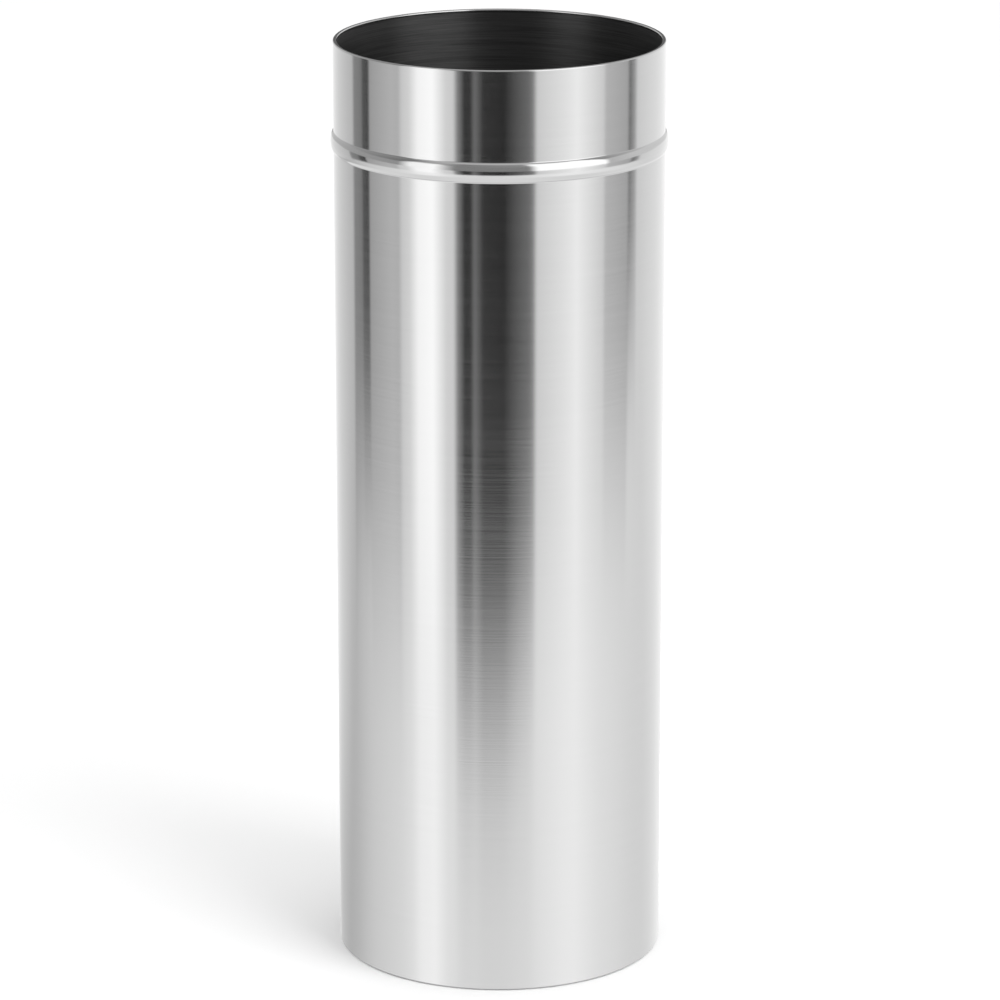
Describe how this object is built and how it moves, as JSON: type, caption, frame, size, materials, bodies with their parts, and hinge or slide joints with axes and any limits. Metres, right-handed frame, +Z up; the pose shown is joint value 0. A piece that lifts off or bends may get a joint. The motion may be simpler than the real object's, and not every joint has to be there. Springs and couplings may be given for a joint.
{
  "type": "umbrella stand",
  "caption": "Round brushed steel umbrella stand with a rolled bead below a hemmed lip, a black inner sleeve, a lift-out drip tray and rubber feet.",
  "frame": {"origin": "on the floor, at the centre of the stand", "axes": "+Z up along the tube's axis, out of its open top; the stand is round, and -Y is its front"},
  "size_m": [0.2239, 0.2238, 0.628],
  "materials": {
    "brushed_steel": "stainless, brushed around the tube",
    "black_paint": "satin black over brushed sheet",
    "plated_steel": "zinc-plated pressing",
    "mill_steel": "dark mill-finish plate",
    "black_rubber": "matt moulded",
    "zinc_fixings": "bright zinc",
    "tray_plastic": "fine-textured black"
  },
  "bodies": {
    "stand": {"body_shell": "brushed_steel", "inner_sleeve": "black_paint", "base_pan": "plated_steel", "ballast_plate": "mill_steel", "foot_1": "black_rubber", "foot_2": "black_rubber", "foot_3": "black_rubber", "foot_4": "black_rubber", "foot_washers": "zinc_fixings", "foot_screws": "zinc_fixings"},
    "tray": {"drip_tray": "tray_plastic"}
  },
  "joints": [
    {"name": "tray_lift", "type": "slide", "parent": "stand", "child": "tray", "axis": [0, 0, 1], "range_m": [0, 0.62]}
  ]
}
